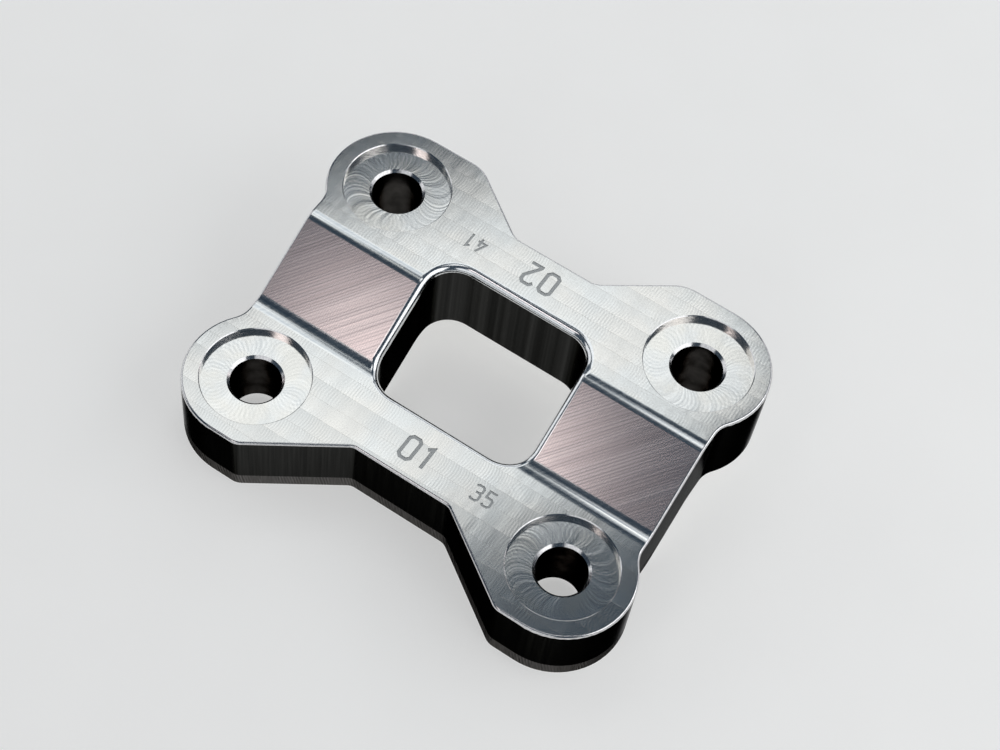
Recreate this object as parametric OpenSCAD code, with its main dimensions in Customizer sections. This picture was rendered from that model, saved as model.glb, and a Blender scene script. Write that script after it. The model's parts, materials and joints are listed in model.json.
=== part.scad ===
// Retraction plate: one machined aluminium plate with two bolting rails
// at different heights, a ramped web between them and a window through it.
// X runs along the rails, Y from the low front rail to the high rear rail,
// Z up. The origin is the middle of the footprint, under the front rail.

/* [Bolt holes] */
// Distance between the two bolt holes of a rail
hole_span_x = 158.8; // [150:0.1:180]
// Distance between the two rows of bolt holes
hole_span_y = 107.1; // [104:0.1:120]
// Diameter of a bolt hole
bore_d = 23; // [18:0.1:26]
// Chamfer at both ends of a bolt hole
bore_chamfer = 1.2; // [0.5:0.1:2]
// Diameter of a counterbore
counterbore_d = 49; // [40:0.1:54]
// Depth of a counterbore
counterbore_depth = 3.2; // [1.6:0.1:12]
// Width of the broken edge round a counterbore
counterbore_break = 0.4; // [0.2:0.1:1]

/* [Rails] */
// Thickness of the front rail
front_rail_t = 35; // [28:0.1:38]
// Thickness of the rear rail
rear_rail_t = 41.2; // [36:0.1:50]
// Height of the rear rail's underside above the front rail's
under_step = 15.9; // [8:0.1:20]

/* [Ears] */
// Radius of the ear round each bolt hole
ear_r = 32.5; // [30:0.1:38]
// Radius of the neck where an ear meets the plate's end
neck_r = 12; // [8:0.1:16]
// Distance from the middle of the plate to its ends
end_x = 103; // [98:0.1:106]

/* [Rear waist] */
// Distance from the middle of the plate to the rear waist
rear_waist_y = 62.1; // [56:0.1:68]
// Half the length of the rear waist
rear_waist_x = 21.1; // [16:0.1:26]
// Distance from the middle to the corner where the rear slant ends
rear_slant_x = 54; // [50:0.1:62]
// Corner radius at the outer end of the rear slant
rear_corner_r = 16.5; // [8:0.1:20]
// Corner radius at the inner end of the rear slant
rear_waist_r = 10.4; // [5:0.1:14]

/* [Front waist] */
// Distance from the middle of the plate to the front waist
front_waist_y = 57.6; // [52:0.1:62]
// Half the length of the front waist
front_waist_x = 24.7; // [20:0.1:28]
// Distance from the middle to the corner where the front slant ends
front_slant_x = 66.4; // [60:0.1:70]
// Corner radius at the outer end of the front slant
front_corner_r = 8; // [4:0.1:14]
// Corner radius at the inner end of the front slant
front_waist_r = 6; // [3:0.1:10]

/* [Ramp] */
// Slope of the ramp in degrees
ramp_angle = 28.7; // [26:0.1:34]
// Distance from the middle to the ramp's upper edge
ramp_top_y = 21.8; // [20:0.1:26]
// Radius of the rounded edge at the top of the ramp
ramp_top_r = 12.4; // [6:0.1:16]
// Radius of the hollow at the foot of the ramp
ramp_foot_r = 16.4; // [6:0.1:20]
// Thickness of the sloping web, square to the ramp
web_t = 34.7; // [30:0.1:38]
// Radius of both bends of the underside
under_r = 12; // [6:0.1:16]

/* [Window] */
// Width of the window
window_w = 79.8; // [60:0.1:90]
// Distance from the middle of the plate to the window's rear wall
window_rear_y = 34.2; // [28:0.1:38]
// Distance from the middle of the plate to the window's front wall
window_front_y = 26.8; // [20:0.1:30]
// Corner radius of the window
window_r = 14.1; // [8:0.1:20]

/* [Edges] */
// Radius of the rounded upper edge all round the plate
edge_r = 1.1; // [0.4:0.1:2]
// Radius of the rounded upper edge all round the window
rim_r = 3.2; // [1:0.1:4]

/* [Hidden] */
$fn = 96;
overcut = 1;
edge_step = 7;
edge_facets = 5;
ramp_steps = 5;
aluminium = [0.80, 0.81, 0.82];

hole_x = hole_span_x / 2;
hole_y = hole_span_y / 2;
ear_edge_y = hole_y + ear_r;
plate_x = hole_x + ear_r;
rear_top_z = under_step + rear_rail_t;
top_step = rear_top_z - front_rail_t;

// Where the straight ramp would meet the rails without its two radii
ramp_rear_y = ramp_top_y - ramp_top_r * tan(ramp_angle / 2);
ramp_front_y = ramp_rear_y - top_step / tan(ramp_angle);
// Middles of the ramp's two radii, the rounded upper edge and the hollow foot
bend_z = rear_top_z - ramp_top_r;
foot_y = ramp_front_y - ramp_foot_r * tan(ramp_angle / 2);
foot_z = front_rail_t + ramp_foot_r;
// The underside of the web lies parallel to the ramp
under_front_y = ramp_front_y + (web_t / cos(ramp_angle) - front_rail_t) / tan(ramp_angle);
under_rear_y = under_front_y + under_step / tan(ramp_angle);

// The neck is tangent to the ear and to the plate's end
neck_x = end_x + neck_r;
neck_y = hole_y - sqrt(pow(ear_r + neck_r, 2) - pow(neck_x - hole_x, 2));
neck_turn = asin((hole_y - neck_y) / (ear_r + neck_r));

// Corners as [x, y, radius], counter-clockwise, for the half with x > 0
outline_right = [
    [front_waist_x, -front_waist_y, front_waist_r],
    [front_slant_x, -ear_edge_y, front_corner_r],
    [hole_x + ear_r * tan(45 + neck_turn / 2), -ear_edge_y, ear_r],
    [end_x, -neck_y - neck_r * tan(neck_turn / 2), neck_r],
    [end_x, neck_y + neck_r * tan(neck_turn / 2), neck_r],
    [hole_x + ear_r * tan(45 + neck_turn / 2), ear_edge_y, ear_r],
    [rear_slant_x, ear_edge_y, rear_corner_r],
    [rear_waist_x, rear_waist_y, rear_waist_r]
];
outline_corners = concat(outline_right, mirrored(outline_right));

// Side view as [y, z, radius], counter-clockwise
side_corners = [
    [-ear_edge_y, 0, 0],
    [under_front_y, 0, under_r],
    [under_rear_y, under_step, under_r],
    [ear_edge_y, under_step, 0],
    [ear_edge_y, rear_top_z, 0],
    [ramp_rear_y, rear_top_z, ramp_top_r],
    [ramp_front_y, front_rail_t, ramp_foot_r],
    [-ear_edge_y, front_rail_t, 0]
];

window_corners = [
    [-window_w / 2, -window_front_y, window_r],
    [window_w / 2, -window_front_y, window_r],
    [window_w / 2, window_rear_y, window_r],
    [-window_w / 2, window_rear_y, window_r]
];

// The other half of a list of corners, in the order that closes the outline
function mirrored(corners) =
    [for (i = [len(corners) - 1:-1:0]) [-corners[i][0], corners[i][1], corners[i][2]]];

function point(corner) = [corner[0], corner[1]];
function unit(v) = v / norm(v);
function left_of(v) = [-v[1], v[0]];

// Direction of travel into and out of corner i
function way_in(corners, i) =
    unit(point(corners[i]) - point(corners[(i + len(corners) - 1) % len(corners)]));
function way_out(corners, i) = way_in(corners, (i + 1) % len(corners));
function turns_left(corners, i) = cross(way_in(corners, i), way_out(corners, i)) > 0;
// Length of straight edge that the arc at corner i takes up
function setback(corners, i) =
    corners[i][2] == 0 ? 0
    : corners[i][2] * tan(acos(way_in(corners, i) * way_out(corners, i)) / 2);
function arc_start(corners, i) = point(corners[i]) - way_in(corners, i) * setback(corners, i);
function arc_end(corners, i) = point(corners[i]) + way_out(corners, i) * setback(corners, i);
function arc_centre(corners, i) =
    arc_start(corners, i)
    + left_of(way_in(corners, i)) * corners[i][2] * (turns_left(corners, i) ? 1 : -1);

// Outline through a list of corners, with a true arc at each that has a radius
module rounded_outline(corners) {
    last = len(corners) - 1;
    difference() {
        union() {
            polygon([for (i = [0:last]) each corners[i][2] > 0
                ? [arc_start(corners, i), arc_end(corners, i)]
                : [point(corners[i])]]);
            for (i = [0:last])
                if (corners[i][2] > 0 && turns_left(corners, i))
                    translate(arc_centre(corners, i)) circle(r = corners[i][2]);
        }
        for (i = [0:last])
            if (corners[i][2] > 0 && !turns_left(corners, i))
                translate(arc_centre(corners, i)) circle(r = corners[i][2]);
    }
}

// The plate seen from above, without its holes
module plan_outline() {
    rounded_outline(outline_corners);
}

// The plate seen from its end, drawn out along the rails
module side_profile() {
    length = 2 * (plate_x + overcut);
    translate([-length / 2, 0, 0])
        rotate([90, 0, 90])
            linear_extrude(height = length) rounded_outline(side_corners);
}

module blank() {
    intersection() {
        translate([0, 0, -overcut])
            linear_extrude(height = rear_top_z + 2 * overcut) plan_outline();
        side_profile();
    }
}

// A cone that opens upwards from radius r over its height
module chamfer_cone(r, size) {
    cylinder(r1 = r, r2 = r + size + overcut, h = size + overcut);
}

// Bolt hole, counterbore and their edges, between an underside and a top face
module bolt_hole(bottom_z, top_z) {
    floor_z = top_z - counterbore_depth;
    bore_r = bore_d / 2;
    translate([0, 0, bottom_z - overcut])
        cylinder(r = bore_r, h = floor_z - bottom_z + 2 * overcut);
    translate([0, 0, bottom_z + bore_chamfer])
        mirror([0, 0, 1]) chamfer_cone(bore_r, bore_chamfer);
    translate([0, 0, floor_z - bore_chamfer])
        cylinder(r1 = bore_r, r2 = bore_r + bore_chamfer, h = bore_chamfer);
    translate([0, 0, floor_z])
        cylinder(d = counterbore_d, h = counterbore_depth + overcut);
    translate([0, 0, top_z - counterbore_break])
        chamfer_cone(counterbore_d / 2, counterbore_break);
}

// The upper edges are rounded as if a ball rolled along inside them, touching
// the wall and the upper side of the plate. Slope of the upper side over a ball
// of radius r whose middle is at y
function slope_over(y, r) =
    let (on_bend = (ramp_top_y - y) / (ramp_top_r - r))
    let (on_foot = (y - foot_y) / (ramp_foot_r + r))
    min(ramp_angle, asin(max(0, min(1, on_bend))), asin(max(0, min(1, on_foot))));
// Height of the middle of the ball
function ball_height(y, r) =
    let (ramp_start = ramp_top_y - (ramp_top_r - r) * sin(ramp_angle))
    let (ramp_end = foot_y + (ramp_foot_r + r) * sin(ramp_angle))
    y < ramp_end
        ? foot_z - (ramp_foot_r + r) * cos(slope_over(y, r))
        : bend_z + (ramp_top_r - r) * cos(slope_over(y, r))
            - max(0, ramp_start - y) * tan(ramp_angle);

// Places where the ball touches the wall, as [x, y, direction into the wall].
// side is 1 where the outline goes round the solid, -1 where it goes round a hole
function places_on_arc(corners, i, side) =
    let (first = arc_start(corners, i) - arc_centre(corners, i))
    let (turn = acos(way_in(corners, i) * way_out(corners, i)))
    let (bend = turns_left(corners, i) ? 1 : -1)
    let (steps = ceil(turn / edge_step))
    [for (k = [0:steps])
        let (a = atan2(first[1], first[0]) + bend * turn * k / steps)
        let (touch = arc_centre(corners, i) + corners[i][2] * [cos(a), sin(a)])
        [touch[0], touch[1], bend * side > 0 ? a + 180 : a]];
// Between two arcs a place is needed only where the ramp bends
function places_on_run(corners, i, side, r) =
    let (from = arc_end(corners, i), to = arc_start(corners, (i + 1) % len(corners)))
    let (way = way_out(corners, i))
    [for (k = [1:2 * ramp_steps])
        let (up = way[1] > 0 ? k : 2 * ramp_steps + 1 - k)
        let (y = up <= ramp_steps
            ? foot_y + (ramp_foot_r + r) * sin(ramp_angle * (up - 1) / (ramp_steps - 1))
            : ramp_top_y - (ramp_top_r - r)
                * sin(ramp_angle * (2 * ramp_steps - up) / (ramp_steps - 1)))
        if ((y - from[1]) * (to[1] - y) > 0)
            [from[0] + (to[0] - from[0]) * (y - from[1]) / (to[1] - from[1]), y,
                atan2(way[1], way[0]) + 90 * side]];
function edge_places(corners, side, r) =
    [for (i = [0:len(corners) - 1])
        each concat(places_on_arc(corners, i, side), places_on_run(corners, i, side, r))];

function turned_between(u, v, share) =
    let (angle = acos(u * v))
    (u * sin((1 - share) * angle) + v * sin(share * angle)) / sin(angle);

// Section of the cutter at one place: the arc, drawn out past both of its ends,
// and a last point that is clear of the plate
function edge_section(place, r) =
    let (out = [-cos(place[2]), -sin(place[2]), 0])
    let (xy = [place[0], place[1], 0] - out * r)
    let (slope = slope_over(xy[1], r))
    let (up = [0, -sin(slope), cos(slope)])
    let (middle = [xy[0], xy[1], ball_height(xy[1], r)])
    let (arc = [for (k = [0:edge_facets]) middle + r * turned_between(out, up, k / edge_facets)])
    concat(
        [arc[0] + overcut * unit(arc[0] - arc[1])],
        [for (k = [1:edge_facets - 1]) arc[k]],
        [arc[edge_facets] + overcut * unit(arc[edge_facets] - arc[edge_facets - 1])],
        [middle + (r + overcut) * (out + up)]
    );

// What is cut away to round the upper edge along an outline
module edge_cutter(corners, side, r) {
    sections = [for (place = edge_places(corners, side, r)) edge_section(place, r)];
    n = len(sections);
    m = len(sections[0]);
    // Seen against the way of travel a section runs clockwise round a hole
    function in_order(face) = side < 0 ? face : [face[2], face[1], face[0]];
    polyhedron(
        points = [for (section = sections) each section],
        faces = [for (i = [0:n - 1], j = [0:m - 1])
            let (next_i = (i + 1) % n, next_j = (j + 1) % m)
            each [
                in_order([i * m + j, i * m + next_j, next_i * m + next_j]),
                in_order([i * m + j, next_i * m + next_j, next_i * m + j])
            ]]
    );
}

module window() {
    translate([0, 0, -overcut])
        linear_extrude(height = rear_top_z + 2 * overcut) rounded_outline(window_corners);
    edge_cutter(window_corners, -1, rim_r);
}

module retraction_plate() {
    color(aluminium)
        difference() {
            blank();
            edge_cutter(outline_corners, 1, edge_r);
            window();
            for (side = [-1, 1]) {
                translate([side * hole_x, -hole_y, 0]) bolt_hole(0, front_rail_t);
                translate([side * hole_x, hole_y, 0]) bolt_hole(under_step, rear_top_z);
            }
        }
}

retraction_plate();
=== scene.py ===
"""Looks of the retraction plate: its machined surfaces, a pale floor, soft lamps and the camera."""

import json
import math

import bmesh
import bpy
from mathutils import Euler, Matrix, Vector


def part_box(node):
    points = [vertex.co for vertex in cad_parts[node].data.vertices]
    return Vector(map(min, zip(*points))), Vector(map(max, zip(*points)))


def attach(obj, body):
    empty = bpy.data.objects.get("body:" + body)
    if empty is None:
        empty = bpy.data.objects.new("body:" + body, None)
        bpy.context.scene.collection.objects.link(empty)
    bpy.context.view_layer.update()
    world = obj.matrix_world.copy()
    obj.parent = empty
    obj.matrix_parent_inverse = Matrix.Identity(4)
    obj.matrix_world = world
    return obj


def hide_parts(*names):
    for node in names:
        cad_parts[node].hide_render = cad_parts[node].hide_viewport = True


MM = 0.001

# Camera
CAMERA_PLACE = (0.2049, -0.4153, 0.7788)
CAMERA_TURN_DEG = (31.88, -5.04, 33.03)
CAMERA_LENS_MM = 71.8
CAMERA_SENSOR_MM = 36.0

# Lamps: where each stands and what it points at, the length and width of its face, the way
# of its length, its colour, and the brightness that a mirror would show of it, 1 being white.
# The first three stand where the polished faces mirror them for the camera, and the others
# where they are mirrored in views from the other sides
WHITE = (1.0, 1.0, 1.0)
PLATE_MIDDLE = (0, 0, 0.03)
LAMPS = {
    "main": {"place": (-0.279, 0.372, 0.80), "aim": (-0.279, 0.372, 0.0), "size": (0.72, 0.315),
             "along": (0.616, 0.788, 0), "brightness": 1.07, "colour": (0.985, 1.0, 0.995)},
    "strip": {"place": (-0.21, 0.0, 0.90), "aim": (-0.21, 0.0, 0.0), "size": (1.0, 0.05),
              "along": (1, 0, 0), "brightness": 0.9, "colour": (1.0, 0.99, 0.95)},
    "front": {"place": (-0.235, -0.52, 0.80), "aim": (-0.235, -0.52, 0.0), "size": (0.27, 0.27),
              "along": (1, 0, 0), "brightness": 1.75, "colour": (1.0, 0.90, 0.88)},
    "right": {"place": (0.80, 0.12, 0.58), "aim": PLATE_MIDDLE, "size": (1.05, 0.80),
              "along": (0, 1, 0), "brightness": 1.5, "colour": WHITE},
    "left": {"place": (-1.05, -0.05, 0.52), "aim": PLATE_MIDDLE, "size": (0.90, 0.75),
             "along": (0, 1, 0), "brightness": 0.9, "colour": WHITE},
    "back": {"place": (0.60, 0.95, 0.62), "aim": PLATE_MIDDLE, "size": (0.90, 0.75),
             "along": (0.85, -0.53, 0), "brightness": 0.9, "colour": WHITE},
    "far": {"place": (-0.48, 1.12, 0.58), "aim": PLATE_MIDDLE, "size": (1.00, 0.80),
            "along": (0.92, 0.39, 0), "brightness": 0.8, "colour": WHITE},
    "near": {"place": (0.10, -1.15, 0.58), "aim": PLATE_MIDDLE, "size": (1.10, 0.80),
             "along": (1, 0, 0), "brightness": 0.85, "colour": WHITE},
    "overhead": {"place": (0.06, 0, 1.60), "aim": (0.06, 0, 0), "size": (0.50, 0.50),
                 "along": (1, 0, 0), "brightness": 0.85, "colour": WHITE},
}

# Colour of the world, which the metal mirrors where there is no lamp
SURROUNDINGS = (0.038, 0.057, 0.080)

# Floor: its colour, how dark that gets in places, its glow, its roughness, and in metres how
# far it reaches each way and its gap under the plate
FLOOR_COLOUR = (0.55, 0.55, 0.543)
FLOOR_SHADE = 0.97
FLOOR_GLOW = (0.45, 0.45, 0.445)
FLOOR_ROUGHNESS = 0.8
FLOOR_REACH = 3.0
FLOOR_GAP = 0.0002

# Bands of the face mill, in millimetres: their width, how far in front of the plate's middle
# they are counted from, how much their borders stray, the line along a border, the radius of
# the cutter's arcs, the distance between arcs going out and coming back, the shift of the arcs
# from band to band, and how much they stray
BAND_WIDTH = 8.3
BAND_START = 204.6
BAND_STRAY = 0.5
BAND_LINE = 0.25
ARC_RADIUS = 12.7
ARC_PITCH_OUT = 1.3
ARC_PITCH_BACK = 1.5
ARC_SHIFT = 31.7
ARC_STRAY = 1.2

# Least value under the root that gives an arc's bow, for points the cutter doesn't reach
LEAST_BOW_SQUARED = 0.01

# Arcs on the floor of a recess: how many in a turn, going out and coming back, and how many
# millimetres they reach past its wall
RECESS_ARCS_OUT = 64
RECESS_ARCS_BACK = 56
RECESS_ARC_REACH = 0.6

# Passes of the ball mill, in millimetres: across the diagonal of the ramp, between the lines
# down the ramp, on the bends and on the rounded edges. A stretch says how many times longer
# than wide the streaks are
RAMP_PASS = 1.35
RAMP_LINE = 1.0
RAMP_STRETCH = 60.0
BEND_PASS = 0.55
BEND_STRETCH = 8.0
EDGE_PASS = 0.5

# Band of tool marks at the foot of the front walls, in millimetres: its height and its soft
# border, the Y where it starts and where it is full, the distance between its marks, and how
# far they lean for each millimetre of height
CHATTER_HEIGHT = 7.0
CHATTER_BORDER = 0.3
CHATTER_START_Y = -8.0
CHATTER_FULL_Y = -9.0
CHATTER_PITCH = 1.7
CHATTER_LEAN = 0.25

# Share of Y in the distance along a wall: not 1, so that diagonal walls get their marks too
WALL_SHARE_Y = 0.83

# Colours of the metal. Some of them hold painted light and shade, as said above each
SILVER = (0.91, 0.925, 0.915)
WARM_SILVER = (0.965, 0.935, 0.885)
BAND_GREY = (0.61, 0.625, 0.62)
ARC_GREY = (0.44, 0.455, 0.46)
GRAIN_GREY = (0.54, 0.53, 0.50)
LINE_BROWN = (0.45, 0.40, 0.34)
RECESS_SILVER = (0.92, 0.925, 0.91)
RECESS_GREY = (0.44, 0.47, 0.49)
RECESS_STRAW = (0.86, 0.82, 0.74)
# Rose of the ramp: the tint is a painted reflection of the pinkish lamp that the ramp mirrors, and
# the lighter and darker shades of it are the ramp's streaks and grooves
DULL_ROSE = (0.80, 0.715, 0.705)
BRIGHT_ROSE = (0.97, 0.885, 0.87)
GROOVE_ROSE = (0.36, 0.32, 0.325)
BEND_GREY = (0.46, 0.50, 0.54)
BEND_SILVER = (0.84, 0.85, 0.84)
# Near black on the walls of the plate: painted shade for the dark surroundings that the polished
# walls mirror. The band of tool marks at their foot is lighter, but darkened the same way
SHADED_WALL_DARK = (0.062, 0.062, 0.061)
SHADED_WALL_LIGHT = (0.080, 0.080, 0.078)
SHADED_CHATTER_DARK = (0.10, 0.097, 0.094)
SHADED_CHATTER_LIGHT = (0.24, 0.232, 0.226)
# Near black on the window walls: painted shade for the dark surroundings that they mirror
SHADED_WINDOW_DARK = (0.038, 0.038, 0.037)
SHADED_WINDOW_LIGHT = (0.068, 0.068, 0.066)
# Near black on the walls of the bolt holes: painted shade, as dark as a shaded hole
SHADED_BORE_DARK = (0.030, 0.029, 0.028)
SHADED_BORE_LIGHT = (0.060, 0.057, 0.055)
RING_GREY = (0.62, 0.60, 0.59)
RING_SILVER = (0.80, 0.77, 0.76)
RIM_GREY = (0.70, 0.72, 0.74)
RIM_SILVER = (0.92, 0.93, 0.93)
EDGE_GREY = (0.55, 0.55, 0.56)
EDGE_SILVER = (0.80, 0.79, 0.79)
# Grey of the engraved numbers: partly their duller finish, partly painted shade along their sides
ENGRAVED_DARK = (0.46, 0.47, 0.47)
ENGRAVED_LIGHT = (0.62, 0.63, 0.62)

# Plain numbers cut into the rails: text, middle in millimetres, height and turn in degrees
ENGRAVING_DEPTH = 0.3
NUMBERS = (
    ("01", (0.0, -44.0), 11.5, 0),
    ("35", (34.0, -45.3), 7.6, 0),
    ("02", (0.0, 49.5), 11.5, 180),
    ("41", (-34.0, 48.7), 7.6, 180),
)

# Digits, in shares of their height: their width, the distance from one to the next, the width
# of a stroke, and the strokes, each with whether it closes on itself and with its corners
DIGIT_WIDTH = 0.5
DIGIT_PITCH = 0.78
DIGIT_STROKE = 0.15
DIGITS = {
    "0": [(True, [(0.0, 0.12), (0.12, 0.0), (0.38, 0.0), (0.5, 0.12),
                  (0.5, 0.88), (0.38, 1.0), (0.12, 1.0), (0.0, 0.88)])],
    "1": [(False, [(0.06, 0.82), (0.26, 0.96), (0.26, 0.0)])],
    "2": [(False, [(0.0, 0.86), (0.12, 1.0), (0.40, 1.0), (0.5, 0.88), (0.5, 0.68), (0.05, 0.02)]),
          (False, [(0.0, 0.0), (0.54, 0.0)])],
    "3": [(False, [(0.0, 0.90), (0.10, 1.0), (0.38, 1.0), (0.5, 0.88), (0.5, 0.64),
                   (0.38, 0.53), (0.14, 0.53)]),
          (False, [(0.30, 0.53), (0.40, 0.53), (0.5, 0.42), (0.5, 0.12), (0.38, 0.0),
                   (0.10, 0.0), (0.0, 0.10)])],
    "4": [(False, [(0.56, 0.26), (0.02, 0.26), (0.36, 1.0)]),
          (False, [(0.38, 0.62), (0.38, 0.0)])],
    "5": [(False, [(0.50, 1.0), (0.04, 1.0), (0.04, 0.57), (0.38, 0.57), (0.5, 0.45),
                   (0.5, 0.12), (0.38, 0.0), (0.10, 0.0), (0.0, 0.10)])],
}

# Z of a face's normal, without its sign: below WALL on the walls of the plate and the window,
# below STEEP on the walls round a hole, below SLANTED on its chamfers, above ABOUT_LEVEL on the
# floor of a recess but not on the ramp, and above LEVEL on flat faces
WALL = 0.02
STEEP = 0.3
SLANTED = 0.95
ABOUT_LEVEL = 0.99
LEVEL = 0.9995

# Faces of the ramp and its bends: the most X in their normal, how far along Y they lie from
# the middle in millimetres, and by how much their slope may differ from the ramp's. The slope
# of the ramp comes from its widest face, which has less X and at least this much Z
MOST_SIDEWAYS = 0.02
RAMP_REACH = 40.0
SLOPE_SPARE_DEG = 1.0
RAMP_MOST_SIDEWAYS = 0.001
RAMP_LEAST_UP = 0.5

# Round a bolt hole, in millimetres: how far past its recess faces belong to it, how far inside
# the recess's wall its floor ends, and how far outside the bore a wall is the recess's
RECESS_SPARE = 0.5
FLOOR_SPARE = 0.05
BORE_SPARE = 3.0

# Window's rounded edge, in millimetres past the opening's box: how far it reaches all round,
# and where it starts in front of the window and behind it
RIM_END = 7.8
RIM_START_FRONT = 4.2
RIM_START_BACK = 4.3

# Mesh of the plate: how near points are joined and how short edges are dropped, in
# millimetres, the angle from which an edge is sharp, and the weight of large faces in the
# smoothed shading, in percent
JOINED_WITHIN = 0.002
SHORTEST_EDGE = 0.001
SHARP_DEG = 35
LARGE_FACE_WEIGHT = 60

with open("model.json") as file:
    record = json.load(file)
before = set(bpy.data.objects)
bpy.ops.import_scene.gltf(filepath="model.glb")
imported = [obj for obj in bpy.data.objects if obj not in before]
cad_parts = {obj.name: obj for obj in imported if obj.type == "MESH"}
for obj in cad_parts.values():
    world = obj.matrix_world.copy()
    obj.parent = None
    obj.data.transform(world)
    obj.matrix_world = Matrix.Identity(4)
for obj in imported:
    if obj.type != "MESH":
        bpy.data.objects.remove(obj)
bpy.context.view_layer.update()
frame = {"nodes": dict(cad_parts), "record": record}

mounts = {m["name"]: m for m in frame["record"]["mounts"]}
bolt_holes = mounts["bolt_holes"]["dims"]
front_recess = mounts["counterbore_front_left"]
rear_recess = mounts["counterbore_rear_left"]
HOLE_X = bolt_holes["spacing_x_mm"] / 2
HOLE_Y = bolt_holes["spacing_y_mm"] / 2
BORE_R = bolt_holes["hole_r_mm"]
RECESS_R = rear_recess["dims"]["r_mm"]
openings = {o["name"]: o["box_m"] for o in frame["record"]["physics"]["openings"]}
window_low, window_high = ([side / MM for side in corner] for corner in openings["window"])
REAR_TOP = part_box("retraction_plate")[1].z / MM
FRONT_TOP = REAR_TOP - (rear_recess["pos_m"][2] - front_recess["pos_m"][2]) / MM


class Graph:
    """Node tree of one material, with a short call for each kind of node. Its places are in
    millimetres, and a value is a socket or a number."""

    def __init__(self, name):
        self.material = bpy.data.materials.new(name)
        self.material.use_nodes = True
        self.tree = self.material.node_tree
        self.shader = self.tree.nodes["Principled BSDF"]
        coordinates = self.tree.nodes.new("ShaderNodeTexCoord")
        self.place = self.scaled(coordinates.outputs["Object"], 1 / MM)
        self.x, self.y, self.z = self.split(self.place)

    def put(self, socket, value):
        if isinstance(value, bpy.types.NodeSocket):
            self.tree.links.new(value, socket)
        else:
            socket.default_value = value

    def math(self, operation, a, b=0.0):
        node = self.tree.nodes.new("ShaderNodeMath")
        node.operation = operation
        for socket, value in zip(node.inputs, (a, b)):
            self.put(socket, value)
        return node.outputs[0]

    def add(self, *values):
        total = values[0]
        for value in values[1:]:
            total = self.math("ADD", total, value)
        return total

    def minus(self, a, b):
        return self.math("SUBTRACT", a, b)

    def times(self, a, b):
        return self.math("MULTIPLY", a, b)

    def weighted(self, *parts):
        """Sum of values, each given with its weight."""
        return self.add(*(self.times(value, weight) for value, weight in parts))

    def wave(self, length, position):
        """Sine along position with that wavelength, from -1 to 1."""
        return self.math("SINE", self.times(position, 2 * math.pi / length))

    def vector_math(self, operation, a, b):
        node = self.tree.nodes.new("ShaderNodeVectorMath")
        node.operation = operation
        self.put(node.inputs[0], a)
        self.put(node.inputs[1], b)
        return node.outputs[0]

    def shifted(self, vector, by):
        return self.vector_math("ADD", vector, by)

    def scaled(self, vector, by):
        return self.vector_math("MULTIPLY", vector, (by, by, by))

    def split(self, vector):
        node = self.tree.nodes.new("ShaderNodeSeparateXYZ")
        self.put(node.inputs[0], vector)
        return node.outputs

    def join(self, x, y, z):
        node = self.tree.nodes.new("ShaderNodeCombineXYZ")
        for socket, value in zip(node.inputs, (x, y, z)):
            self.put(socket, value)
        return node.outputs[0]

    def noise(self, where, scale, detail=2.0, roughness=0.5):
        node = self.tree.nodes.new("ShaderNodeTexNoise")
        self.put(node.inputs["Vector"], where)
        self.put(node.inputs["Scale"], scale)
        self.put(node.inputs["Detail"], detail)
        self.put(node.inputs["Roughness"], roughness)
        return node.outputs["Fac"]

    def random(self, value):
        node = self.tree.nodes.new("ShaderNodeTexWhiteNoise")
        node.noise_dimensions = "1D"
        self.put(node.inputs["W"], value)
        return node.outputs["Value"]

    def ramp(self, value, low, high, to_low=0.0, to_high=1.0):
        """From to_low to to_high, as value goes from low to high."""
        node = self.tree.nodes.new("ShaderNodeMapRange")
        for name, number in (("Value", value), ("From Min", low), ("From Max", high),
                             ("To Min", to_low), ("To Max", to_high)):
            self.put(node.inputs[name], number)
        return node.outputs["Result"]

    def patches(self, where, scale, low, high, least=0.0, most=1.0, detail=2.0):
        """Soft patches of noise: least where it is below low, most where it is above high."""
        return self.ramp(self.noise(where, scale, detail), low, high, least, most)

    def lines(self, where, scale, detail=3.0):
        """Uneven lines across where, from about -1 to 1."""
        return self.ramp(self.noise(where, scale, detail, roughness=0.6), 0.33, 0.67, -1.0, 1.0)

    def polish(self, noise, smooth, rough):
        """Roughness from smooth to rough, as noise has it."""
        return self.ramp(noise, 0.3, 0.7, smooth, rough)

    def mix(self, share, a, b):
        """Colour a with that share of colour b."""
        node = self.tree.nodes.new("ShaderNodeMix")
        node.data_type = "RGBA"
        self.put(node.inputs["Factor"], share)
        for name, colour in (("A", a), ("B", b)):
            linked_in = isinstance(colour, bpy.types.NodeSocket)
            self.put(node.inputs[name], colour if linked_in else (*colour, 1))
        return node.outputs["Result"]

    def fade(self, value, low, high, a, b, most=1.0):
        """Colour a, with more of colour b as value goes from low to high, up to most."""
        return self.mix(self.ramp(value, low, high, 0.0, most), a, b)

    def diagonal(self, stretch):
        """Place drawn out along the diagonal that the ball mill followed."""
        along = self.times(self.add(self.x, self.y), math.sqrt(0.5))
        across = self.times(self.minus(self.x, self.y), math.sqrt(0.5))
        return self.join(self.times(along, 1 / stretch), across, 0.0)

    def along_wall(self):
        """Distance along a wall, the same from its foot to its top."""
        return self.add(self.x, self.times(self.y, WALL_SHARE_Y))

    def tool_arcs(self, along, across, radius):
        """Where the two arcs that a round cutter leaves through a point cross its path."""
        bow_squared = self.minus(radius * radius, self.math("POWER", across, 2.0))
        bow = self.math("SQRT", self.math("MAXIMUM", bow_squared, LEAST_BOW_SQUARED))
        return self.minus(along, bow), self.add(along, bow)

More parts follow.
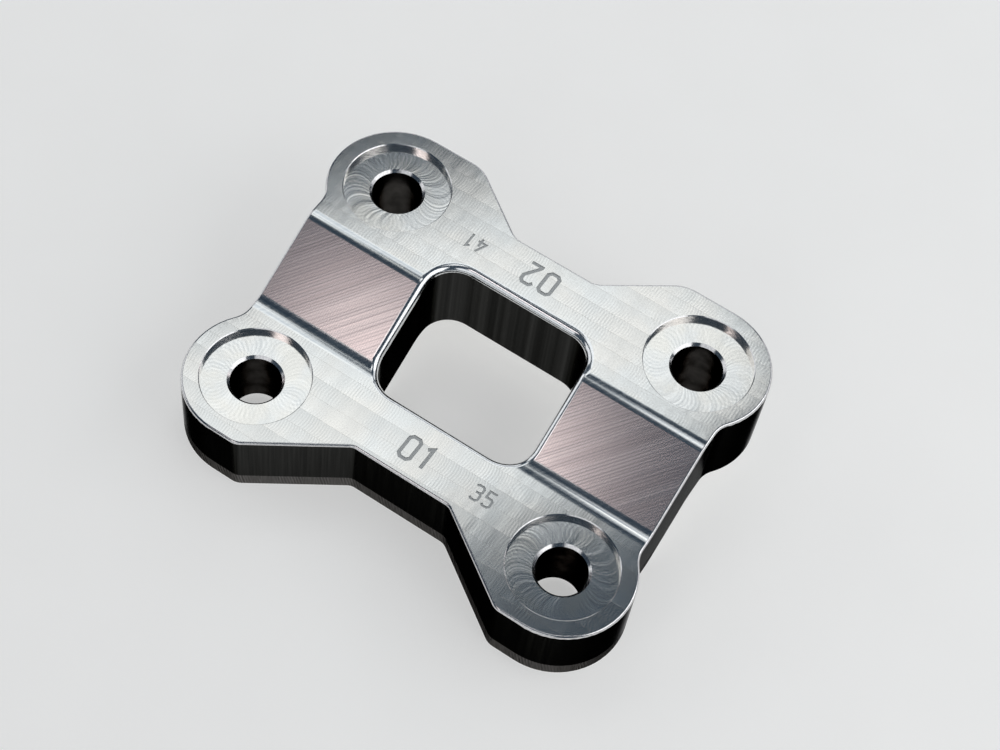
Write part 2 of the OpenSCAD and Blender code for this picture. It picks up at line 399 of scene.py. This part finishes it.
    def finish(self, colour, roughness, height, bump_mm, metallic=1.0, glance=1.0):
        """Connects the shader. height is from about -1 to 1, and bump_mm says how deep that is.
        glance is how much a surface seen nearly edge-on keeps of its reflection."""
        bump = self.tree.nodes.new("ShaderNodeBump")
        bump.inputs["Strength"].default_value = 1.0
        bump.inputs["Distance"].default_value = bump_mm * MM
        self.put(bump.inputs["Height"], height)
        self.put(self.shader.inputs["Normal"], bump.outputs["Normal"])
        self.put(self.shader.inputs["Base Color"], colour)
        self.put(self.shader.inputs["Roughness"], roughness)
        self.shader.inputs["Metallic"].default_value = metallic
        self.shader.inputs["Specular Tint"].default_value = (glance, glance, glance, 1)
        return self.material


def face_milled():
    """Bands cut by a face mill along X, with fans of its arcs in places."""
    g = Graph("face_milled")
    stray = g.times(g.minus(g.noise(g.place, 0.03), 0.5), BAND_STRAY)
    steps = g.math("DIVIDE", g.add(g.y, stray, BAND_START), BAND_WIDTH)
    band = g.math("FLOOR", steps)
    across = g.times(g.math("FRACT", steps), BAND_WIDTH)
    leading, trailing = g.tool_arcs(g.x, g.minus(across, BAND_WIDTH / 2), ARC_RADIUS)
    shift = g.times(band, ARC_SHIFT)
    uneven = g.times(g.noise(g.place, 0.06, detail=1.0), ARC_STRAY)
    fans_out = g.patches(g.place, 0.055, 0.44, 0.62, least=0.15)
    fans_back = g.patches(g.shifted(g.place, (70, 0, 0)), 0.055, 0.50, 0.64)
    arcs_out = g.times(g.wave(ARC_PITCH_OUT, g.add(leading, shift, uneven)), fans_out)
    arcs_back = g.times(g.wave(ARC_PITCH_BACK, g.add(trailing, shift, uneven)), fans_back)
    arcs = g.add(arcs_out, arcs_back)
    swell = g.lines(g.join(leading, shift, 90.0), 0.14, detail=1.0)
    grain = g.noise(g.join(g.times(g.x, 0.45), g.y, g.z), 2.6, detail=4.0, roughness=0.65)
    height = g.weighted((arcs, 0.22), (swell, 3.0), (grain, 0.5))
    warm = g.patches(g.shifted(g.place, (40, 9, 0)), 0.040, 0.36, 0.60, detail=3.0)
    silver = g.mix(warm, SILVER, WARM_SILVER)
    slanting = g.ramp(across, 0.0, BAND_WIDTH, 0.0, 0.28)
    banded = g.mix(g.add(slanting, g.times(g.random(band), 0.28)), silver, BAND_GREY)
    marks = g.add(arcs, g.times(swell, 0.4))
    arced = g.fade(marks, -0.9, 1.6, banded, ARC_GREY, most=0.46)
    grained = g.fade(grain, 0.35, 0.68, arced, GRAIN_GREY, most=0.34)
    near_line = g.ramp(across, 0.0, BAND_LINE, 1.0, 0.0)
    colour = g.mix(g.times(near_line, 0.35), grained, LINE_BROWN)
    return g.finish(colour, g.polish(grain, 0.15, 0.20), height, bump_mm=0.0036)


def counterbore_floor():
    """Fans of arcs that a cutter leaves as it circles round the bolt hole. The light and dark
    sectors round the hole in its colour are painted highlight and shade of the turned floor's
    sheen.
    """
    g = Graph("counterbore_floor")
    from_hole_x = g.minus(g.math("ABSOLUTE", g.x), HOLE_X)
    from_hole_y = g.minus(g.math("ABSOLUTE", g.y), HOLE_Y)
    squares = g.add(g.math("POWER", from_hole_x, 2.0), g.math("POWER", from_hole_y, 2.0))
    path_radius = (RECESS_R + BORE_R) / 2
    off_path = g.minus(g.math("SQRT", squares), path_radius)
    round_trip = 2 * math.pi * path_radius
    around = g.times(g.math("ARCTAN2", from_hole_y, from_hole_x), path_radius)
    leading, trailing = g.tool_arcs(around, off_path, RECESS_R - path_radius + RECESS_ARC_REACH)
    uneven = g.times(g.noise(g.place, 0.06, detail=1.0), ARC_STRAY)
    fans_out = g.patches(g.place, 0.06, 0.42, 0.58, least=0.25)
    fans_back = g.patches(g.shifted(g.place, (0, 50, 0)), 0.06, 0.46, 0.60)
    arcs_out = g.times(g.wave(round_trip / RECESS_ARCS_OUT, g.add(leading, uneven)), fans_out)
    arcs_back = g.times(g.wave(round_trip / RECESS_ARCS_BACK, g.add(trailing, uneven)), fans_back)
    arcs = g.add(arcs_out, arcs_back)
    angle = g.math("DIVIDE", leading, path_radius)
    on_path = g.join(g.times(g.math("COSINE", angle), path_radius),
                     g.times(g.math("SINE", angle), path_radius), g.times(g.y, 0.02))
    swell = g.lines(on_path, 0.22, detail=2.0)
    grain = g.noise(g.place, 1.9, detail=4.0, roughness=0.65)
    height = g.weighted((arcs, 0.27), (swell, 3.0), (grain, 0.5))
    # In the colour, the swell paints light and dark sectors round the hole: painted highlight and
    # shade of the floor's sheen. In the height it bumps the surface
    marks = g.add(arcs, g.times(swell, 0.9))
    shaded = g.fade(marks, -1.4, 1.7, RECESS_SILVER, RECESS_GREY, most=0.50)
    straw = g.patches(g.shifted(g.place, (9, 9, 0)), 0.07, 0.4, 0.62, most=0.5, detail=3.0)
    warmed = g.mix(straw, shaded, RECESS_STRAW)
    colour = g.fade(grain, 0.35, 0.68, warmed, GRAIN_GREY, most=0.26)
    return g.finish(colour, g.polish(grain, 0.14, 0.18), height, bump_mm=0.0042)


def ramp_face():
    """Satin ramp: fine lines down it, crossed by the diagonal passes of a ball mill. Its rose tint
    is a painted reflection of the pinkish lamp that the ramp mirrors.
    """
    g = Graph("ramp_face")
    slant = g.diagonal(RAMP_STRETCH)
    across = g.split(slant)[1]
    streak = g.lines(slant, 0.8)
    broad = g.lines(g.shifted(slant, (0, 0, 30)), 0.15)
    passes = g.wave(RAMP_PASS, g.add(across, g.times(broad, 0.4)))
    down = g.wave(RAMP_LINE, g.x)
    height = g.weighted((streak, 0.3), (broad, 0.5))
    # Painted reflection: the rose tint stands for the pinkish lamp mirrored in the ramp
    rose = g.fade(g.add(streak, g.times(broad, 1.2)), -1.5, 1.5, DULL_ROSE, BRIGHT_ROSE)
    lined = g.fade(down, -0.2, 1.0, rose, GROOVE_ROSE, most=0.20)
    crossing = g.add(passes, g.times(streak, 0.5))
    colour = g.fade(crossing, 0.1, 1.3, lined, GROOVE_ROSE, most=0.45)
    roughness = g.ramp(streak, -1.0, 1.0, 0.20, 0.27)
    return g.finish(colour, roughness, height, bump_mm=0.0022)


def bend():
    """Rounded top and hollow foot of the ramp, with streaks along the rails."""
    g = Graph("bend")
    streak = g.noise(g.diagonal(BEND_STRETCH), 0.9, detail=4.0, roughness=0.6)
    along = g.noise(g.join(g.times(g.x, 0.012), g.y, g.z), 1.1, detail=3.0)
    passes = g.wave(BEND_PASS, g.add(g.y, g.z))
    height = g.weighted((streak, 0.8), (along, 2.5), (passes, 0.3))
    streaks = g.add(g.times(streak, 0.5), along)
    colour = g.fade(streaks, 0.55, 0.95, BEND_GREY, BEND_SILVER)
    return g.finish(colour, g.polish(streak, 0.12, 0.19), height, bump_mm=0.002)


def side_milled_shaded():
    """Walls cut with the side of an end mill, with faint upright lines, and in front with a lighter
    band of tool marks at the foot. Their near-black colour, band included, and the reflection they
    lose seen edge-on are painted shade for the dark surroundings that the polished walls mirror."""
    g = Graph("side_milled_shaded")
    around = g.along_wall()
    stretched = g.join(g.times(around, 0.9), 0.0, g.times(g.z, 0.02))
    upright = g.noise(stretched, 1.0, detail=4.0, roughness=0.6)
    at_foot = g.ramp(g.z, CHATTER_HEIGHT - CHATTER_BORDER, CHATTER_HEIGHT, 1.0, 0.0)
    chatter_area = g.times(at_foot, g.ramp(g.y, CHATTER_START_Y, CHATTER_FULL_Y))
    patchy = g.patches(g.join(around, 0.0, g.times(g.z, 0.4)), 0.13, 0.42, 0.60, detail=3.0)
    leaning = g.wave(CHATTER_PITCH, g.add(around, g.times(g.z, CHATTER_LEAN)))
    uneven = g.patches(g.join(around, 0.0, g.times(g.z, 0.1)), 1.3, 0.3, 0.7,
                       least=-0.6, most=0.6, detail=3.0)
    marks = g.add(g.times(leaning, patchy), uneven)
    height = g.weighted((upright, 0.4), (g.times(marks, chatter_area), 0.8))
    # Painted shade: the near-black colours of the wall and of its band of tool marks stand for the
    # dark surroundings that the walls mirror
    wall = g.fade(upright, 0.35, 0.65, SHADED_WALL_DARK, SHADED_WALL_LIGHT)
    chatter = g.fade(marks, -1.2, 1.2, SHADED_CHATTER_DARK, SHADED_CHATTER_LIGHT)
    colour = g.mix(chatter_area, wall, chatter)
    roughness = g.ramp(chatter_area, 0.0, 1.0, 0.17, 0.34)
    return g.finish(colour, roughness, height, bump_mm=0.002, glance=0.0)


def window_wall_shaded():
    """Window walls: polished, with broad upright bands. Their near-black colour and the reflection
    they lose seen edge-on are painted shade for the dark surroundings that they mirror.
    """
    g = Graph("window_wall_shaded")
    around = g.along_wall()
    upright = g.noise(g.join(g.times(around, 0.16), 0.0, 0.0), 1.0, detail=3.0, roughness=0.6)
    fine = g.noise(g.join(around, 0.0, g.times(g.z, 0.03)), 1.4, detail=3.0)
    height = g.add(fine, upright)
    # Painted shade: the near-black colour stands for the dark surroundings mirrored in these walls
    colour = g.fade(upright, 0.42, 0.66, SHADED_WINDOW_DARK, SHADED_WINDOW_LIGHT)
    return g.finish(colour, g.polish(fine, 0.12, 0.20), height, bump_mm=0.0012, glance=0.2)


def bore_wall_shaded():
    """Walls of the bolt holes, with polished rings. Their near-black colour is painted shade,
    as dark as a shaded hole where they mirror the floor below.
    """
    g = Graph("bore_wall_shaded")
    rings = g.noise(g.join(0.0, 0.0, g.z), 3.0, detail=3.0)
    soft = g.noise(g.place, 0.15)
    # Painted shade: the near-black colour keeps the hole dark where its walls mirror the floor
    colour = g.fade(g.add(rings, soft), 0.8, 1.2, SHADED_BORE_DARK, SHADED_BORE_LIGHT)
    return g.finish(colour, g.polish(rings, 0.10, 0.18), rings, bump_mm=0.003, glance=0.1)


def recess_wall():
    """Wall of the recess round a bolt hole: bright, with fine rings."""
    g = Graph("recess_wall")
    rings = g.noise(g.join(0.0, 0.0, g.z), 5.0, detail=3.0)
    soft = g.noise(g.place, 0.4, detail=3.0)
    colour = g.fade(g.add(rings, soft), 0.8, 1.2, RING_GREY, RING_SILVER)
    return g.finish(colour, g.polish(rings, 0.10, 0.16), rings, bump_mm=0.002)


def rounded_edge(name, dark, light):
    """Bright rounded edge with the fine lines of a ball mill or a radius cutter."""
    g = Graph(name)
    passes = g.wave(EDGE_PASS, g.z)
    fine = g.noise(g.place, 1.4, detail=3.0)
    height = g.weighted((passes, 0.3), (fine, 0.8))
    colour = g.fade(fine, 0.35, 0.65, dark, light)
    return g.finish(colour, g.polish(fine, 0.12, 0.20), height, bump_mm=0.002)


def engraved():
    """Matt grey floor and sides of the engraved numbers: the grey is partly their duller finish
    and partly painted shade that darkens their outlines.
    """
    g = Graph("engraved")
    grain = g.noise(g.place, 2.5, detail=3.0)
    # Partly painted shade: the grey darkens the sides of the engraving as well as its floor
    colour = g.fade(grain, 0.3, 0.7, ENGRAVED_DARK, ENGRAVED_LIGHT)
    return g.finish(colour, g.polish(grain, 0.42, 0.55), grain, bump_mm=0.004)


def make_materials():
    """The plate's materials by name, in the order of its material slots."""
    made = [
        face_milled(), counterbore_floor(), ramp_face(), bend(), side_milled_shaded(), window_wall_shaded(),
        bore_wall_shaded(), recess_wall(), rounded_edge("window_rim", RIM_GREY, RIM_SILVER),
        rounded_edge("outer_edge", EDGE_GREY, EDGE_SILVER), engraved(),
    ]
    return {material.name: material for material in made}


def region(centre, normal, ramp_slope):
    """Name of the material for a face, from where it lies and which way it looks."""
    x, y = centre.x / MM, centre.y / MM
    uprightness = abs(normal.z)
    from_hole = math.hypot(abs(x) - HOLE_X, abs(y) - HOLE_Y)
    if from_hole < RECESS_R + RECESS_SPARE:
        if normal.z > ABOUT_LEVEL and from_hole < RECESS_R - FLOOR_SPARE:
            return "counterbore_floor"
        if uprightness < STEEP:
            return "recess_wall" if from_hole > BORE_R + BORE_SPARE else "bore_wall_shaded"
        if uprightness < SLANTED:
            return "outer_edge"
    if uprightness > LEVEL:
        return "face_milled"
    at_window = (abs(x) < window_high[0] + RIM_END
                 and window_low[1] - RIM_END < y < window_high[1] + RIM_END)
    if uprightness < WALL:
        return "window_wall_shaded" if at_window else "side_milled_shaded"
    if abs(normal.x) < MOST_SIDEWAYS and abs(y) < RAMP_REACH:
        slope = math.degrees(math.acos(min(1.0, uprightness)))
        past_window = y > window_high[1] + RIM_START_BACK or y < window_low[1] - RIM_START_FRONT
        on_rim = at_window and normal.z > 0 and past_window
        if abs(slope - ramp_slope) < SLOPE_SPARE_DEG:
            return "ramp_face" if normal.z > 0 else "face_milled"
        if slope < ramp_slope + SLOPE_SPARE_DEG and not on_rim:
            return "bend"
    return "window_rim" if at_window else "outer_edge"


def slope_of_ramp(mesh):
    """Slope in degrees of the widest face that looks up and along Y without lying flat."""
    sloping = [
        face for face in mesh.polygons
        if abs(face.normal.x) < RAMP_MOST_SIDEWAYS and RAMP_LEAST_UP < face.normal.z < ABOUT_LEVEL
    ]
    widest = max(sloping, key=lambda face: face.area)
    return math.degrees(math.acos(widest.normal.z))


def linked(name, data):
    """New object in the scene."""
    made = bpy.data.objects.new(name, data)
    bpy.context.scene.collection.objects.link(made)
    return made


def stroke_outline(points, closed, width):
    """Points left and right of a stroke through points, with mitred corners."""
    count = len(points)
    pairs = []
    for i, point in enumerate(points):
        before = points[i - 1] if closed or i else None
        after = points[(i + 1) % count] if closed or i < count - 1 else None
        ways = []
        if before:
            ways.append((point - before).normalized())
        if after:
            ways.append((after - point).normalized())
        sides = [Vector((-way.y, way.x)) for way in ways]
        middle = sum(sides, Vector((0, 0))).normalized()
        reach = width / 2 / middle.dot(sides[0])
        pairs.append((point + middle * reach, point - middle * reach))
    return pairs


def stroke_cutter(points, closed, width, place, turn_deg, material):
    """Closed prism in the shape of one stroke, sunk into the face at place."""
    pairs = stroke_outline(points, closed, width)
    turn = Matrix.Rotation(math.radians(turn_deg), 3, "Z")
    build = bmesh.new()
    low, high = (
        [[build.verts.new(Vector(place) + turn @ Vector((v.x, v.y, z)) * MM) for v in pair]
         for pair in pairs]
        for z in (-ENGRAVING_DEPTH, ENGRAVING_DEPTH)
    )
    steps = len(pairs) if closed else len(pairs) - 1
    for i in range(steps):
        j = (i + 1) % len(pairs)
        build.faces.new((high[i][0], high[i][1], high[j][1], high[j][0]))
        build.faces.new((low[i][1], low[i][0], low[j][0], low[j][1]))
        for side in (0, 1):
            build.faces.new((low[i][side], high[i][side], high[j][side], low[j][side]))
    if not closed:
        for i in (0, -1):
            build.faces.new((low[i][0], low[i][1], high[i][1], high[i][0]))
    bmesh.ops.recalc_face_normals(build, faces=build.faces)
    mesh = bpy.data.meshes.new("stroke")
    build.to_mesh(mesh)
    build.free()
    mesh.materials.append(material)
    return linked("stroke", mesh)


def welded_copy(cad):
    """Copy of the CAD piece's mesh with its faces joined at their common edges, and without
    the normals that it brought."""
    mesh = cad.data.copy()
    build = bmesh.new()
    build.from_mesh(mesh)
    bmesh.ops.remove_doubles(build, verts=build.verts, dist=JOINED_WITHIN * MM)
    bmesh.ops.dissolve_degenerate(build, edges=build.edges, dist=SHORTEST_EDGE * MM)
    build.to_mesh(mesh)
    build.free()
    imported_normals = mesh.attributes.get("custom_normal")
    if imported_normals:
        mesh.attributes.remove(imported_normals)
    return linked("plate", mesh)


def apply_modifiers(piece):
    """Gives the piece the mesh that its modifiers make, and takes them off."""
    bpy.context.view_layer.update()
    evaluated = piece.evaluated_get(bpy.context.evaluated_depsgraph_get())
    mesh = bpy.data.meshes.new_from_object(evaluated)
    piece.modifiers.clear()
    piece.data = mesh


def sink(plate, cutter):
    """Cuts the cutter's shape out of the plate and deletes the cutter."""
    cut = plate.modifiers.new("stroke", "BOOLEAN")
    cut.operation = "DIFFERENCE"
    cut.solver = "EXACT"
    cut.material_mode = "TRANSFER"
    cut.object = cutter
    apply_modifiers(plate)
    bpy.data.objects.remove(cutter)


def engrave(plate, material):
    """Sinks plain numbers into both rails."""
    for text, middle, height, turn_deg in NUMBERS:
        level = (REAR_TOP if middle[1] > 0 else FRONT_TOP) * MM
        place = (middle[0] * MM, middle[1] * MM, level)
        pitch = height * DIGIT_PITCH
        width = height * DIGIT_STROKE
        for order, digit in enumerate(text):
            shift = pitch * (order - (len(text) - 1) / 2)
            for closed, corners in DIGITS[digit]:
                points = [
                    Vector(((x - DIGIT_WIDTH / 2) * height + shift, (y - 0.5) * height))
                    for x, y in corners
                ]
                sink(plate, stroke_cutter(points, closed, width, place, turn_deg, material))


def dress(plate, materials, ramp_slope):
    """Gives each face its material and smooths the shading between tangent faces."""
    mesh = plate.data
    names = list(materials)
    carved = [
        mesh.materials[face.material_index] is not None
        and mesh.materials[face.material_index].name == "engraved"
        for face in mesh.polygons
    ]
    mesh.materials.clear()
    for name in names:
        mesh.materials.append(materials[name])
    for face, is_carved in zip(mesh.polygons, carved):
        face.use_smooth = True
        found = "engraved" if is_carved else region(face.center, face.normal, ramp_slope)
        face.material_index = names.index(found)
    mesh.set_sharp_from_angle(angle=math.radians(SHARP_DEG))
    weighted = plate.modifiers.new("normals", "WEIGHTED_NORMAL")
    weighted.keep_sharp = True
    weighted.weight = LARGE_FACE_WEIGHT
    apply_modifiers(plate)


def make_plate():
    """Engraved and dressed copy of the CAD plate, which takes its place."""
    materials = make_materials()
    plate = welded_copy(frame["nodes"]["retraction_plate"])
    ramp_slope = slope_of_ramp(plate.data)
    plate.data.materials.clear()
    plate.data.materials.append(materials["face_milled"])
    engrave(plate, materials["engraved"])
    dress(plate, materials, ramp_slope)
    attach(plate, "root")
    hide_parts("retraction_plate")


def make_floor():
    """Pale floor that keeps the plate's shadow. Its glow shows to the camera and in
    reflections, and gives no diffuse light."""
    mesh = bpy.data.meshes.new("floor")
    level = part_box("retraction_plate")[0].z - FLOOR_GAP
    corners = [(x * FLOOR_REACH, y * FLOOR_REACH, level)
               for x, y in ((-1, -1), (1, -1), (1, 1), (-1, 1))]
    mesh.from_pydata(corners, [], [(0, 1, 2, 3)])
    floor = linked("floor", mesh)
    g = Graph("floor")
    grain = g.noise(g.place, 0.02)
    shade = tuple(part * FLOOR_SHADE for part in FLOOR_COLOUR)
    colour = g.fade(grain, 0.3, 0.7, FLOOR_COLOUR, shade)
    g.finish(colour, FLOOR_ROUGHNESS, grain, bump_mm=0.01, metallic=0.0)
    path = g.tree.nodes.new("ShaderNodeLightPath")
    rays = [path.outputs[f"Is {kind} Ray"] for kind in ("Camera", "Glossy", "Transmission")]
    g.put(g.shader.inputs["Emission Color"], (*FLOOR_GLOW, 1))
    g.put(g.shader.inputs["Emission Strength"], g.math("MINIMUM", g.add(*rays), 1.0))
    mesh.materials.append(g.material)


def make_lamps():
    """Soft rectangular lamps that the camera doesn't see."""
    for name, facts in LAMPS.items():
        length, width = facts["size"]
        data = bpy.data.lights.new(name, "AREA")
        data.shape = "RECTANGLE"
        data.size = length
        data.size_y = width
        data.color = facts["colour"]
        data.energy = facts["brightness"] * math.pi * length * width
        lamp = linked(name, data)
        lamp.location = facts["place"]
        back = (Vector(facts["place"]) - Vector(facts["aim"])).normalized()
        along = Vector(facts["along"])
        along = (along - back * along.dot(back)).normalized()
        lamp.rotation_euler = Matrix((along, back.cross(along), back)).transposed().to_euler()
        lamp.visible_camera = False


def make_surroundings():
    """Dim bluish world that the metal mirrors where there is no lamp."""
    world = bpy.data.worlds.new("surroundings")
    world.use_nodes = True
    background = world.node_tree.nodes["Background"]
    background.inputs["Color"].default_value = (*SURROUNDINGS, 1)
    background.inputs["Strength"].default_value = 1.0
    bpy.context.scene.world = world


def make_camera():
    """Camera at the photograph's angle."""
    data = bpy.data.cameras.new("camera")
    data.lens = CAMERA_LENS_MM
    data.sensor_width = CAMERA_SENSOR_MM
    camera = linked("camera", data)
    camera.location = CAMERA_PLACE
    camera.rotation_euler = Euler([math.radians(a) for a in CAMERA_TURN_DEG], "XYZ")
    bpy.context.scene.camera = camera


make_camera()
make_plate()
make_floor()
make_lamps()
make_surroundings()
bpy.context.scene.view_settings.view_transform = "Standard"
